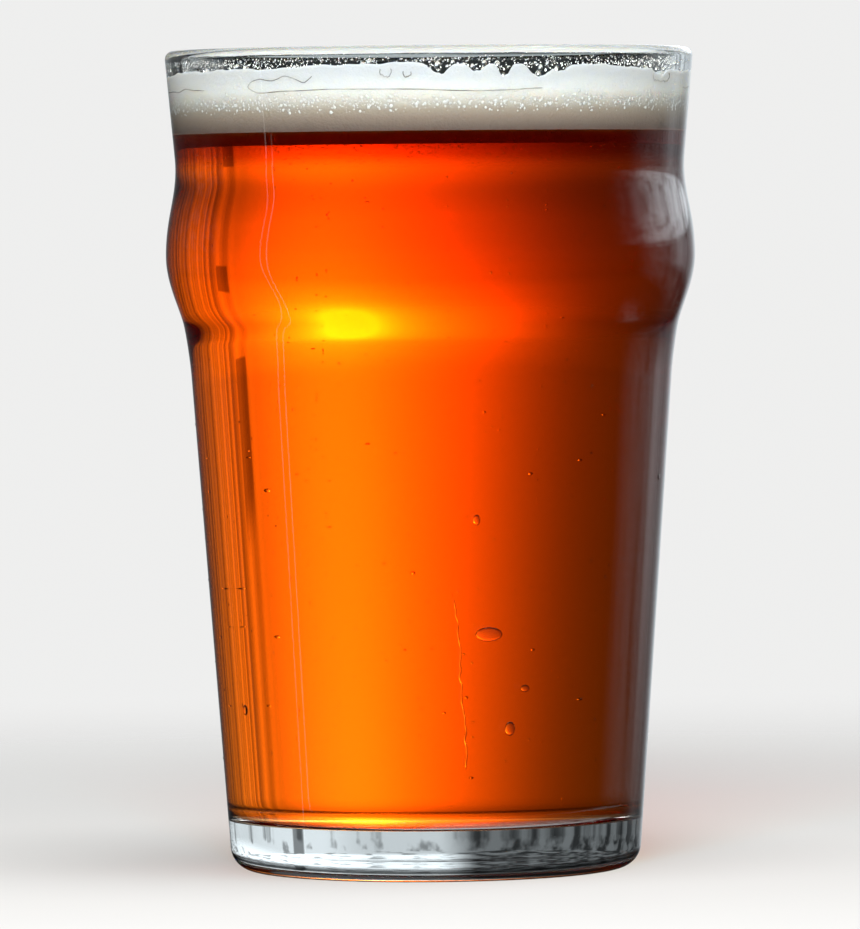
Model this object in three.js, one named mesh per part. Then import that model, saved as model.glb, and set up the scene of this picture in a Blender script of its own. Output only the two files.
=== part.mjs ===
// A pint of amber ale in a bulged pub glass: a thick-footed tumbler of clear glass, the ale that fills it,
// and the head of foam that floats on the ale and clings to the wall above it.
// Millimetres. Every piece is turned round one upright axis, and the glass stands on its foot at height 0.
import * as THREE from "three";

// The glass, outside
const GLASS_HEIGHT = 138;
const FOOT_RADIUS = 34.35; // where the straight wall would meet the table
const FOOT_CORNER = 4; // rounding between the wall and the table
const PUNT_RADIUS = 24; // shallow dish under the foot, so that it stands on a ring
const PUNT_DEPTH = 1.2;
const WAIST = { radius: 40.43, height: 83.2 }; // top of the straight wall
const CREASE = { radius: 41.74, height: 92.3 }; // where the slope under the bulge turns steeper
const SLOPE_BELOW_CREASE = 0.257;
const SLOPE_ABOVE_CREASE = 0.278;
const BULGE = { radius: 44.55, height: 103.5 }; // widest part, which keeps the rims of stacked glasses apart
const NECK = { radius: 42.9, height: 120 }; // foot of the flared drinking edge
const RIM_RADIUS = 44.4;
const WALL = 2.75; // with this wall the glass holds an imperial pint, 568 ml, at the brim

// How far each bend of the bulge reaches along the wall
const BEND_ABOVE_WAIST = 2.7;
const BEND_BELOW_CREASE = 1.7;
const BEND_ABOVE_CREASE = 3.1;
const BEND_BELOW_BULGE = 4.3;
const BEND_ABOVE_BULGE = 7;
const BEND_BELOW_NECK = 6;

// The glass, inside
const FLOOR_HEIGHT = 8.6; // thickness of the clear foot
const FLOOR_CORNER = 3.5;

// The drink
const FIT_GAP = 0.3; // clearance between two pieces that touch
const ALE_LEVEL = 124.1;
const HEAD_TOP = 130.6; // middle of the foam
const CLING_TOP = 134.9; // foam left standing on the wall
const CLING_FOOT = 3.2; // how far the clinging foam spreads in over the head
const CLING_EDGE = 0.7; // its thickness at the upper edge
const SWELL_HEIGHT = 0.45; // uneven top of the head
const SWELL_LENGTHS = [31, 19, 12.5]; // from crest to crest
const SWELL_TURNS = [0.6, 2.5, 4.4]; // the way each swell runs, in radians
const RAGGED_HEIGHT = 0.7; // uneven upper edge of the clinging foam
const RAGGED_COUNTS = [3, 7, 16]; // waves round the glass
const RAGGED_STARTS = [0, 1.3, 2.6]; // where each of them starts, in radians
const FIRST_FADE = 1.5; // each finer swell or wave is lower: the n-th is divided by n plus this

// Facets
const SIDES = 60;
const BEND_STEPS = 6; // along one bend of the bulge
const ARC_STEPS = 6; // round a corner or the lip
const HEAD_RINGS = 7;

const SAME_POINT = 1e-6;

const WALL_SLOPE = (WAIST.radius - FOOT_RADIUS) / WAIST.height;
const LIP_RADIUS = WALL / 2;
const LIP_HEIGHT = GLASS_HEIGHT - LIP_RADIUS; // where the flared edge starts to round over
const FLARE_SLOPE = (RIM_RADIUS - NECK.radius) / (LIP_HEIGHT - NECK.height);

// Radius of the flared drinking edge at a height, set in from the outside of the glass.
function flareRadius(height, inset) {
  return NECK.radius + FLARE_SLOPE * (height - NECK.height) - inset;
}

// The upright wall, set in from the outside of the glass, from a floor with rounded corners up to the neck.
// The path starts wherever it already is, so that the floor can be flat or dished.
function wallToNeck(path, inset, floor, corner) {
  const slant = Math.atan(WALL_SLOPE);
  const wallAtCorner = FOOT_RADIUS - inset + WALL_SLOPE * (floor + corner);
  const cornerCentre = wallAtCorner - corner * Math.hypot(1, WALL_SLOPE);
  path.lineTo(cornerCentre, floor);
  path.absarc(cornerCentre, floor + corner, corner, -Math.PI / 2, -slant, false);
  path.lineTo(WAIST.radius - inset, WAIST.height);
  path.bezierCurveTo(
    WAIST.radius - inset + WALL_SLOPE * BEND_ABOVE_WAIST,
    WAIST.height + BEND_ABOVE_WAIST,
    CREASE.radius - inset - SLOPE_BELOW_CREASE * BEND_BELOW_CREASE,
    CREASE.height - BEND_BELOW_CREASE,
    CREASE.radius - inset,
    CREASE.height,
  );
  path.bezierCurveTo(
    CREASE.radius - inset + SLOPE_ABOVE_CREASE * BEND_ABOVE_CREASE,
    CREASE.height + BEND_ABOVE_CREASE,
    BULGE.radius - inset,
    BULGE.height - BEND_BELOW_BULGE,
    BULGE.radius - inset,
    BULGE.height,
  );
  path.bezierCurveTo(
    BULGE.radius - inset,
    BULGE.height + BEND_ABOVE_BULGE,
    NECK.radius - inset - FLARE_SLOPE * BEND_BELOW_NECK,
    NECK.height - BEND_BELOW_NECK,
    NECK.radius - inset,
    NECK.height,
  );
  return path;
}

// How many steps one stretch of a section is cut into.
function stepsAlong(curve) {
  if (curve.isLineCurve) return 1;
  return curve.isEllipseCurve ? ARC_STEPS : BEND_STEPS;
}

// The points of a path, with the end that each stretch shares with the next one kept once.
function outline(path) {
  const points = path.curves.flatMap((curve) => curve.getPoints(stepsAlong(curve)));
  return points.filter((point, i) => i === 0 || point.distanceTo(points[i - 1]) > SAME_POINT);
}

// Half sections, as radius and height, from the axis out and up and back to the axis
function glassSection() {
  const outside = new THREE.Path();
  outside.moveTo(0, PUNT_DEPTH);
  outside.quadraticCurveTo(PUNT_RADIUS / 2, PUNT_DEPTH, PUNT_RADIUS, 0);
  wallToNeck(outside, 0, 0, FOOT_CORNER);
  const lipCentre = flareRadius(LIP_HEIGHT, LIP_RADIUS);
  outside.lineTo(flareRadius(LIP_HEIGHT, 0), LIP_HEIGHT);
  outside.absarc(lipCentre, LIP_HEIGHT, LIP_RADIUS, 0, Math.PI, false);

  const inside = new THREE.Path();
  inside.moveTo(0, FLOOR_HEIGHT);
  wallToNeck(inside, WALL, FLOOR_HEIGHT, FLOOR_CORNER);
  return [...outline(outside), ...outline(inside).reverse()];
}

function aleSection() {
  const inset = WALL + FIT_GAP;
  const ale = new THREE.Path();
  ale.moveTo(0, FLOOR_HEIGHT + FIT_GAP);
  wallToNeck(ale, inset, FLOOR_HEIGHT + FIT_GAP, FLOOR_CORNER);
  ale.lineTo(flareRadius(ALE_LEVEL, inset), ALE_LEVEL);
  ale.lineTo(0, ALE_LEVEL);
  return outline(ale);
}

function headSection() {
  const inset = WALL + FIT_GAP;
  const underside = ALE_LEVEL + FIT_GAP;
  const clingRadius = flareRadius(CLING_TOP, inset);
  const headRadius = flareRadius(HEAD_TOP, inset) - CLING_FOOT;
  const head = new THREE.Path();
  head.moveTo(0, underside);
  head.lineTo(flareRadius(underside, inset), underside);
  head.lineTo(flareRadius(HEAD_TOP, inset), HEAD_TOP);
  head.lineTo(clingRadius, CLING_TOP);
  head.lineTo(clingRadius - CLING_EDGE, CLING_TOP);
  head.quadraticCurveTo(clingRadius - 2 * CLING_EDGE, HEAD_TOP, headRadius, HEAD_TOP);
  const section = outline(head);
  for (let ring = HEAD_RINGS - 1; ring >= 0; ring -= 1) {
    section.push(new THREE.Vector2((headRadius * ring) / HEAD_RINGS, HEAD_TOP));
  }
  return section;
}

// Long low swells over the top of the foam, each a wave that runs across it in its own direction
function swell(across, along) {
  return SWELL_LENGTHS.reduce((sum, length, i) => {
    const turn = SWELL_TURNS[i];
    const distance = across * Math.cos(turn) + along * Math.sin(turn);
    return sum + Math.sin((distance * 2 * Math.PI) / length + turn) / (i + FIRST_FADE);
  }, 0);
}

// The ragged upper edge of the clinging foam, as waves counted round the glass
function ragged(angle) {
  return RAGGED_COUNTS.reduce((sum, count, i) => {
    return sum + Math.sin(count * angle + RAGGED_STARTS[i]) / (i + FIRST_FADE);
  }, 0);
}

// Turns a half section round the axis, which stands along +Y until the whole pint is stood up.
function turned(section) {
  return new THREE.LatheGeometry(section, SIDES);
}

// The turned head with its top made uneven: swells on the head, and a ragged edge on the clinging foam.
function unevenHead() {
  const geometry = turned(headSection());
  const place = geometry.getAttribute("position");
  for (let i = 0; i < place.count; i += 1) {
    const across = place.getX(i);
    const along = place.getZ(i);
    const climb = (place.getY(i) - HEAD_TOP) / (CLING_TOP - HEAD_TOP);
    if (climb < 0) continue;
    const onWall = THREE.MathUtils.clamp(climb, 0, 1);
    const radius = Math.hypot(across, along);
    const swelling = SWELL_HEIGHT * (1 - onWall) * swell(across, along);
    const rise = swelling + RAGGED_HEIGHT * onWall * ragged(Math.atan2(along, across));
    const widen = radius > 0 ? 1 + (onWall * FLARE_SLOPE * rise) / radius : 1;
    place.setXYZ(i, across * widen, place.getY(i) + rise, along * widen);
  }
  geometry.computeVertexNormals();
  return geometry;
}

const clearGlass = new THREE.MeshStandardMaterial({
  color: 0xdfe9ea,
  roughness: 0.03,
  metalness: 0,
  transparent: true,
  opacity: 0.3,
});
const amberAle = new THREE.MeshStandardMaterial({
  color: 0xe06a00,
  roughness: 0.05,
  metalness: 0,
  transparent: true,
  opacity: 0.85,
});
const creamFoam = new THREE.MeshStandardMaterial({ color: 0xf4efe3, roughness: 0.85, metalness: 0 });

function piece(name, geometry, material) {
  const mesh = new THREE.Mesh(geometry, material);
  mesh.name = name;
  return mesh;
}

const pint = new THREE.Group();
pint.name = "pint_of_beer";
pint.add(
  piece("glass", turned(glassSection()), clearGlass),
  piece("beer", turned(aleSection()), amberAle),
  piece("foam", unevenHead(), creamFoam),
);
pint.rotation.x = Math.PI / 2; // the axis of turning, +Y, becomes the upright +Z

export default pint;
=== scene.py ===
import bmesh
import bpy
import numpy as np
from mathutils import Matrix, Vector


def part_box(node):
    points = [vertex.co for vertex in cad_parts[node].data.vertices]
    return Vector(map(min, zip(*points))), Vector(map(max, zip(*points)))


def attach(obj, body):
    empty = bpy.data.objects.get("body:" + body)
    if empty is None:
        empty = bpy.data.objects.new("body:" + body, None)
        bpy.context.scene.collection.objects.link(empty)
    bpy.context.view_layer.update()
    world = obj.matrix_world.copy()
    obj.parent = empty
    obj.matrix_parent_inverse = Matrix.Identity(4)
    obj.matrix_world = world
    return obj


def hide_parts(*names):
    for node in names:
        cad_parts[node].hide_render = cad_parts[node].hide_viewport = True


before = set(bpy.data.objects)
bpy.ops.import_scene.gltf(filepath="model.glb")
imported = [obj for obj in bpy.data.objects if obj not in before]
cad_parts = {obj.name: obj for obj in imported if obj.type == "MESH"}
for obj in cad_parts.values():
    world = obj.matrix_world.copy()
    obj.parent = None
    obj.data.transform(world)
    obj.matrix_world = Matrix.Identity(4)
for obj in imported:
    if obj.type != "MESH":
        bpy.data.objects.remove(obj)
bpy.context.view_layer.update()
scene = bpy.context.scene

# The tumbler: one gather of clear soda-lime glass, pressed in a mould. It has a thick foot with a shallow
# dish under it, a tapered body, a bulge that keeps stacked glasses apart, and a flared edge polished round
# by fire.
MM = 0.001
GLASS_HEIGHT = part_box("glass")[1].z
BULGE_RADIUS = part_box("glass")[1].x
FOOT_RADIUS = 34.35 * MM
FOOT_CORNER = 4 * MM
PUNT_RADIUS = 24 * MM
PUNT_DEPTH = 1.2 * MM
WAIST_RADIUS = 40.43 * MM
WAIST_HEIGHT = 83.2 * MM
CREASE_RADIUS = 41.74 * MM
CREASE_HEIGHT = 92.3 * MM
SLOPE_BELOW_CREASE = 0.257
SLOPE_ABOVE_CREASE = 0.278
BULGE_HEIGHT = 103.5 * MM
NECK_RADIUS = 42.9 * MM
NECK_HEIGHT = 120 * MM
RIM_RADIUS = 44.4 * MM
WALL = 2.75 * MM
LIP_RADIUS = WALL / 2
LIP_HEIGHT = GLASS_HEIGHT - LIP_RADIUS
FLOOR_HEIGHT = 8.6 * MM
FLOOR_CORNER = 3.5 * MM
BEND_ABOVE_WAIST = 2.7 * MM
BEND_BELOW_CREASE = 1.7 * MM
BEND_ABOVE_CREASE = 3.1 * MM
BEND_BELOW_BULGE = 4.3 * MM
BEND_ABOVE_BULGE = 7 * MM
BEND_BELOW_NECK = 6 * MM
WALL_SLOPE = (WAIST_RADIUS - FOOT_RADIUS) / WAIST_HEIGHT
FLARE_SLOPE = (RIM_RADIUS - NECK_RADIUS) / (LIP_HEIGHT - NECK_HEIGHT)
EDGE_STEP = 0.03 * MM
GLASS_SIDES = 160
DISH_STEPS = 14
RING_STEPS = 4
CORNER_STEPS = 14
TAPER_STEPS = 36
CREASE_STEPS = 16
BULGE_STEPS = 20
NECK_STEPS = 24
FLARE_STEPS = 12
LIP_STEPS = 16
FLOOR_STEPS = 10
SAME_POINT = 0.0005 * MM
GLASS_TINT = (0.975, 1.0, 0.985, 1)
GLASS_IOR = 1.5
DRAW_LINE_STRETCH = (1, 1, 0.03)
DRAW_LINE_SCALE = 260
DRAW_LINE_DEPTH = 0.02 * MM
SMEAR_SCALE = 55
SMEAR_FROM = 0.56
SMEAR_TO = 0.8
SMEAR_ROUGHNESS = 0.03


def straight(start, end, steps):
    """Points from start to end, evenly spaced, without the start."""
    t = np.linspace(0, 1, steps + 1)[1:, None]
    return (1 - t) * np.array(start) + t * np.array(end)


def bend(start, pull_start, pull_end, end, steps):
    """A cubic Bezier bend without its start: the four points weighted by (1-t)^3, 3(1-t)^2 t, 3(1-t)t^2
    and t^3."""
    t = np.linspace(0, 1, steps + 1)[1:, None]
    ends = (1 - t) ** 3 * np.array(start) + t**3 * np.array(end)
    return ends + 3 * (1 - t) * t * ((1 - t) * np.array(pull_start) + t * np.array(pull_end))


def arc(centre, radius, start, end, steps):
    """Points on a circle round centre, from one angle to another, with both ends."""
    turn = np.linspace(start, end, steps + 1)[:, None]
    return np.array(centre) + radius * np.hstack((np.cos(turn), np.sin(turn)))


def flare_radius(height, inset):
    """Radius of the straight flare above the neck at a height, set in from the outside of the glass."""
    return NECK_RADIUS + FLARE_SLOPE * (height - NECK_HEIGHT) - inset


def wall_line(inset, floor, corner, top):
    """Half section of the wall, set in from the outside: an arc off the floor, the straight taper to the
    waist, two bends that meet at the crease and reach the bulge, a bend in to the neck, and the flare up to
    top. The last step is short, so that the flare stays straight to its end."""
    reach = FOOT_RADIUS - inset + WALL_SLOPE * (floor + corner) - corner * np.hypot(1, WALL_SLOPE)
    waist = (WAIST_RADIUS - inset, WAIST_HEIGHT)
    crease = (CREASE_RADIUS - inset, CREASE_HEIGHT)
    bulge = (BULGE_RADIUS - inset, BULGE_HEIGHT)
    neck = (NECK_RADIUS - inset, NECK_HEIGHT)
    above_waist = (waist[0] + WALL_SLOPE * BEND_ABOVE_WAIST, WAIST_HEIGHT + BEND_ABOVE_WAIST)
    below_crease = (crease[0] - SLOPE_BELOW_CREASE * BEND_BELOW_CREASE, CREASE_HEIGHT - BEND_BELOW_CREASE)
    above_crease = (crease[0] + SLOPE_ABOVE_CREASE * BEND_ABOVE_CREASE, CREASE_HEIGHT + BEND_ABOVE_CREASE)
    below_bulge = (bulge[0], BULGE_HEIGHT - BEND_BELOW_BULGE)
    above_bulge = (bulge[0], BULGE_HEIGHT + BEND_ABOVE_BULGE)
    below_neck = (neck[0] - FLARE_SLOPE * BEND_BELOW_NECK, NECK_HEIGHT - BEND_BELOW_NECK)
    corner_arc = arc((reach, floor + corner), corner, -np.pi / 2, -np.arctan(WALL_SLOPE), CORNER_STEPS)
    return np.vstack((
        corner_arc,
        straight(corner_arc[-1], waist, TAPER_STEPS),
        bend(waist, above_waist, below_crease, crease, CREASE_STEPS),
        bend(crease, above_crease, below_bulge, bulge, BULGE_STEPS),
        bend(bulge, above_bulge, below_neck, neck, NECK_STEPS),
        straight(neck, (flare_radius(top - EDGE_STEP, inset), top - EDGE_STEP), FLARE_STEPS),
        [(flare_radius(top, inset), top)],
    ))


def on_circle(radius, turn, height):
    """Points at a radius, turn and height: x = r cos a, y = r sin a, z = h."""
    return np.stack((radius * np.cos(turn), radius * np.sin(turn), height + 0 * turn), axis=-1)


def turned(section, sides):
    """A half section, as radius and height, carried round the axis in even steps."""
    return on_circle(section[:, :1], np.arange(sides) * 2 * np.pi / sides, section[:, 1:])


def round_faces(points):
    """Quads over a grid of points whose columns run round the axis and close on themselves."""
    rows, columns = points.shape[:2]
    index = np.arange(rows * columns).reshape(rows, columns)
    low, high = index[:-1], index[1:]
    return np.stack((low, np.roll(low, -1, 1), np.roll(high, -1, 1), high), axis=-1).reshape(-1, 4)


def make_piece(name, points, faces, material):
    """An object at the origin from arrays of points and faces, smooth, with points that coincide merged."""
    mesh = bpy.data.meshes.new(name)
    mesh.from_pydata(points.reshape(-1, 3), [], faces)
    work = bmesh.new()
    work.from_mesh(mesh)
    bmesh.ops.remove_doubles(work, verts=work.verts, dist=SAME_POINT)
    work.to_mesh(mesh)
    work.free()
    mesh.shade_smooth()
    mesh.materials.append(material)
    piece = bpy.data.objects.new(name, mesh)
    scene.collection.objects.link(piece)
    return piece


def add_node(tree, kind, settings=None, inputs=None):
    """A shader node: settings go on the node itself, and each input is a plain value or another node's
    socket."""
    node = tree.nodes.new("ShaderNode" + kind)
    for name, value in (settings or {}).items():
        setattr(node, name, value)
    for name, value in (inputs or {}).items():
        if isinstance(value, bpy.types.NodeSocket):
            tree.links.new(value, node.inputs[name])
        else:
            node.inputs[name].default_value = value
    return node


def new_material(name):
    """An empty node material, and its node tree with an output."""
    material = bpy.data.materials.new(name)
    material.use_nodes = True
    material.node_tree.nodes.clear()
    return material, material.node_tree, add_node(material.node_tree, "OutputMaterial")


def noise(tree, scale, **inputs):
    """The value of a noise over the piece."""
    place = add_node(tree, "TexCoord").outputs["Object"]
    return add_node(tree, "TexNoise", inputs={"Vector": place, "Scale": scale, **inputs}).outputs[0]


def let_light_through(tree, output, shader, tint):
    """Shows the shader, but lets light from lamps and from pale surfaces pass straight through, tinted."""
    path = add_node(tree, "LightPath")
    rays = add_node(tree, "Math", {"operation": "MAXIMUM"},
                    {0: path.outputs["Is Shadow Ray"], 1: path.outputs["Is Diffuse Ray"]})
    clear = add_node(tree, "BsdfTransparent", inputs={"Color": tint})
    mix = add_node(tree, "MixShader", inputs={0: rays.outputs[0], 1: shader.outputs[0], 2: clear.outputs[0]})
    tree.links.new(mix.outputs[0], output.inputs["Surface"])


def clear_glass():
    """Clear glass with faint upright draw lines from the mould and thin smears where hands have held it."""
    material, tree, output = new_material("clear_glass")
    place = add_node(tree, "TexCoord").outputs["Object"]
    drawn_out = add_node(tree, "Mapping", inputs={"Vector": place, "Scale": DRAW_LINE_STRETCH})
    lines = add_node(tree, "TexNoise", inputs={
        "Vector": drawn_out.outputs[0],
        "Scale": DRAW_LINE_SCALE,
        "Detail": 2,
    })
    bump = add_node(tree, "Bump", inputs={
        "Height": lines.outputs[0],
        "Strength": 0.1,
        "Distance": DRAW_LINE_DEPTH,
    })
    smear = noise(tree, SMEAR_SCALE, Detail=5, Distortion=1.5)
    film = add_node(tree, "MapRange", inputs={0: smear, 1: SMEAR_FROM, 2: SMEAR_TO, 4: SMEAR_ROUGHNESS})
    shader = add_node(tree, "BsdfPrincipled", inputs={
        "Base Color": GLASS_TINT,
        "Roughness": film.outputs[0],
        "IOR": GLASS_IOR,
        "Transmission Weight": 1.0,
        "Normal": bump.outputs[0],
    })
    let_light_through(tree, output, shader, GLASS_TINT)
    return material


def glass_section():
    """Half section of the tumbler: the dish under the foot, the outside, the round lip, the inside and the
    floor."""
    dish_middle = (PUNT_RADIUS / 3, PUNT_DEPTH)
    dish_slope = (PUNT_RADIUS * 2 / 3, PUNT_DEPTH * 2 / 3)
    dish = bend((0, PUNT_DEPTH), dish_middle, dish_slope, (PUNT_RADIUS, 0), DISH_STEPS)
    outside = wall_line(0, 0, FOOT_CORNER, LIP_HEIGHT)
    lip = arc((flare_radius(LIP_HEIGHT, LIP_RADIUS), LIP_HEIGHT), LIP_RADIUS, 0, np.pi, LIP_STEPS)
    inside = wall_line(WALL, FLOOR_HEIGHT, FLOOR_CORNER, LIP_HEIGHT)[::-1]
    floor = straight(inside[-1], (0, FLOOR_HEIGHT), FLOOR_STEPS)
    ring = straight(dish[-1], outside[0], RING_STEPS)
    return np.vstack(([(0, PUNT_DEPTH)], dish, ring, outside[1:], lip[1:], inside[1:], floor))


tumbler_points = turned(glass_section(), GLASS_SIDES)
tumbler = make_piece("tumbler", tumbler_points, round_faces(tumbler_points), clear_glass())
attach(tumbler, "root")
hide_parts("glass")

# The ale: clear amber beer poured to just under the rim. It wets the glass all over, so here it reaches a
# hair into the wall and the floor, and a hair up into the foam, and no air shows between them.
ALE_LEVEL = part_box("foam")[0].z
WETTING = 0.06 * MM
ALE_SIDES = 160
ALE_IOR = 1.34
ALE_CLEARNESS = (0.975, 0.634, 0.0, 1)
ALE_DEPTH = 112.0
HAZE_SCALE = 30
HAZE_TINT = (1.0, 0.97, 0.95, 1)
CLEAR = (1, 1, 1, 1)
# Painted shade: the ale's colour darkens towards the head, standing in for the head's shadow.
HEAD_PAINTED_SHADE = (
    (117.4 * MM, (1.0, 1.0, 1.0, 1)),
    (119.0 * MM, (0.85, 0.75, 0.7, 1)),
    (120.5 * MM, (0.6, 0.45, 0.4, 1)),
    (121.5 * MM, (0.45, 0.25, 0.2, 1)),
    (122.5 * MM, (0.35, 0.15, 0.1, 1)),
    (124.2 * MM, (0.3, 0.1, 0.06, 1)),
)


def group_of(name, inputs, output):
    """An empty shader node group with named number inputs and one number output, and its two end nodes."""
    group = bpy.data.node_groups.new(name, "ShaderNodeTree")
    for socket in inputs:
        group.interface.new_socket(socket, in_out="INPUT", socket_type="NodeSocketFloat")
    group.interface.new_socket(output, in_out="OUTPUT", socket_type="NodeSocketFloat")
    return group, group.nodes.new("NodeGroupInput"), group.nodes.new("NodeGroupOutput")


def height_share():
    """A node group for how far up a place is: 0 at the lowest height, 1 at the highest and even between."""
    group, given, result = group_of("height_share", ("Lowest", "Highest"), "Share")
    place = add_node(group, "TexCoord").outputs["Object"]
    height = add_node(group, "SeparateXYZ", inputs={0: place}).outputs["Z"]
    share = add_node(group, "MapRange", inputs={0: height, 1: given.outputs[0], 2: given.outputs[1]})
    group.links.new(share.outputs[0], result.inputs[0])
    return group


HEIGHT_SHARE = height_share()


def set_ramp(ramp, stops):
    """Gives a colour ramp its stops, each a position from 0 to 1 and a colour."""
    while len(ramp.elements) < len(stops):
        ramp.elements.new(0.5)
    for element, (position, colour) in zip(ramp.elements, stops):
        element.position = position
        element.color = colour


def tone_by_height(tree, tones):
    """A colour that changes with height, from a list of heights and the colours there."""
    lowest, highest = tones[0][0], tones[-1][0]
    share = add_node(tree, "Group", {"node_tree": HEIGHT_SHARE}, {"Lowest": lowest, "Highest": highest})
    tone = add_node(tree, "ValToRGB", inputs={0: share.outputs["Share"]})
    set_ramp(tone.color_ramp, [((level - lowest) / (highest - lowest), colour) for level, colour in tones])
    return tone.outputs[0]


def amber_ale():
    """A clear liquid that swallows blue light within millimetres, green within centimetres and hardly any
    red. Just under the head, where the finest bubbles hang, its colour is painted darker: painted shade
    of the head's shadow."""
    material, tree, output = new_material("amber_ale")
    body = add_node(tree, "ValToRGB", inputs={0: noise(tree, HAZE_SCALE, Detail=2)})
    set_ramp(body.color_ramp, ((0, HAZE_TINT), (1, CLEAR)))
    colour = add_node(tree, "Mix", {"data_type": "RGBA", "blend_type": "MULTIPLY"},
                      {0: 1.0, 6: body.outputs[0], 7: tone_by_height(tree, HEAD_PAINTED_SHADE)})
    shader = add_node(tree, "BsdfPrincipled", inputs={
        "Base Color": colour.outputs[2],
        "Roughness": 0.0,
        "IOR": ALE_IOR,
        "Specular IOR Level": 0.0,
        "Transmission Weight": 1.0,
    })
    depth = add_node(tree, "VolumeAbsorption", inputs={"Color": ALE_CLEARNESS, "Density": ALE_DEPTH})
    tree.links.new(depth.outputs[0], output.inputs["Volume"])
    let_light_through(tree, output, shader, CLEAR)
    return material


ale_side = wall_line(WALL - WETTING, FLOOR_HEIGHT - WETTING, FLOOR_CORNER, ALE_LEVEL)
ale_floor = straight((0, FLOOR_HEIGHT - WETTING), ale_side[0], FLOOR_STEPS)
ale_edge = ale_side[-1] - (EDGE_STEP, 0)
ale_top = straight(ale_edge, (0, ALE_LEVEL), FLOOR_STEPS)
ale_section = np.vstack(([(0, FLOOR_HEIGHT - WETTING)], ale_floor, ale_side[1:], [ale_edge], ale_top))
ale_points = turned(ale_section, ALE_SIDES)
ale = make_piece("ale", ale_points, round_faces(ale_points), amber_ale())
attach(ale, "root")
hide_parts("beer")

# Bubbles in the ale: fine beads of gas, some clinging to the wall, some rising in thin strings from the
# floor and many gathered under the head. Each is a small round ball, a fifth of a millimetre or so across.
CLINGING_BUBBLES = 300
CLINGING_RADII = (0.06 * MM, 0.22 * MM)
CLINGING_GAP = 1.2
CLINGING_FROM = FLOOR_HEIGHT + 6 * MM
CLINGING_TO = ALE_LEVEL - 3 * MM
BUBBLE_STRINGS = 8
STRING_BUBBLES = 26
STRING_REACH = 27 * MM
STRING_SPREAD = (0.3, 1)
STRING_CROWDING = 1.6
STRING_FROM = FLOOR_HEIGHT + 0.4 * MM
STRING_RISE = ALE_LEVEL - FLOOR_HEIGHT - 4 * MM
STRING_WANDER = 1.5 * MM
STRING_WAVES = (5, 12)
STRING_RADIUS = 0.06 * MM
STRING_GROWTH = 0.1 * MM
GATHERED_BUBBLES = 900
GATHERED_DEPTH = 1.3 * MM
GATHERED_LIMIT = 4 * GATHERED_DEPTH
GATHERED_BELOW = 0.5 * MM
GATHERED_REACH = flare_radius(NECK_HEIGHT, WALL) - 1 * MM
GATHERED_RADII = (0.05 * MM, 0.12 * MM)
BUBBLE_SEED = 21
BEAD_WAVER_SCALE = 900
BEAD_WAVER_DEPTH = 0.05 * MM
GAS_IOR = 1.33


def ball(columns, rows):
    """A unit ball as rings from its lower pole to its upper one: radius sin b and height -cos b."""
    climb = np.linspace(0, np.pi, rows + 1)
    return turned(np.column_stack((np.sin(climb), -np.cos(climb))), columns)


def copies(shape, centres, axes):
    """One grid of points repeated: each copy is its centre plus the grid's x, y and z along the copy's own
    axes."""
    points = centres[:, None, None] + np.einsum("rck,nkj->nrcj", shape, axes)
    first = np.arange(len(centres)) * shape.shape[0] * shape.shape[1]
    return points.reshape(-1, 3), (round_faces(shape) + first[:, None, None]).reshape(-1, 4)


def round_axes(radius):
    """Axes of a ball: the three directions, each as long as the radius."""
    return radius[:, None, None] * np.eye(3)


def wall_radius(height, inset):
    """Radius of the wall at a height, set in from the outside, read off its half section."""
    line = wall_line(inset, 0, FOOT_CORNER, LIP_HEIGHT)
    return np.interp(height, line[:, 1], line[:, 0])


def mostly_small(draw, count, sizes, power):
    """Random sizes between two: the difference times u to a power, with u even from 0 to 1, plus the
    smaller."""
    small, large = sizes
    return small + (large - small) * draw.random(count) ** power


def gas_bubbles():
    """Centres and radii: clinging bubbles anywhere on the wall, strings that wander as they rise and grow,
    and bubbles under the head that thin out downwards."""
    draw = np.random.default_rng(BUBBLE_SEED)
    radius = mostly_small(draw, CLINGING_BUBBLES, CLINGING_RADII, 2)
    height = draw.uniform(CLINGING_FROM, CLINGING_TO, CLINGING_BUBBLES)
    turn = draw.uniform(0, 2 * np.pi, CLINGING_BUBBLES)
    clinging = on_circle(wall_radius(height, WALL) - CLINGING_GAP * radius, turn, height)

    start_turn = draw.uniform(0, 2 * np.pi, (BUBBLE_STRINGS, 1))
    start_reach = STRING_REACH * np.sqrt(draw.uniform(*STRING_SPREAD, (BUBBLE_STRINGS, 1)))
    climb = np.sort(draw.random((BUBBLE_STRINGS, STRING_BUBBLES)) ** STRING_CROWDING, axis=1)
    string_height = STRING_FROM + climb * STRING_RISE
    wander = STRING_WANDER * np.sin(climb * draw.uniform(*STRING_WAVES, (BUBBLE_STRINGS, 1)) + start_turn)
    rising = on_circle(start_reach + wander, start_turn + 0 * climb, string_height).reshape(-1, 3)
    string_radius = (STRING_RADIUS + STRING_GROWTH * climb).ravel()

    under = GATHERED_BELOW + GATHERED_DEPTH * draw.exponential(size=GATHERED_BUBBLES)
    under_height = ALE_LEVEL - np.minimum(under, GATHERED_LIMIT)
    under_reach = GATHERED_REACH * np.sqrt(draw.random(GATHERED_BUBBLES))
    gathered = on_circle(under_reach, draw.uniform(0, 2 * np.pi, GATHERED_BUBBLES), under_height)
    under_radius = draw.uniform(*GATHERED_RADII, GATHERED_BUBBLES)
    centres = np.vstack((clinging, rising, gathered))
    return centres, np.concatenate((radius, string_radius, under_radius))


def film_waver():
    """A node group for the faint waver of a wet film: the height of a fine noise."""
    group, given, result = group_of("film_waver", ("Scale",), "Height")
    group.links.new(noise(group, given.outputs[0]), result.inputs[0])
    return group


FILM_WAVER = film_waver()


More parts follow.
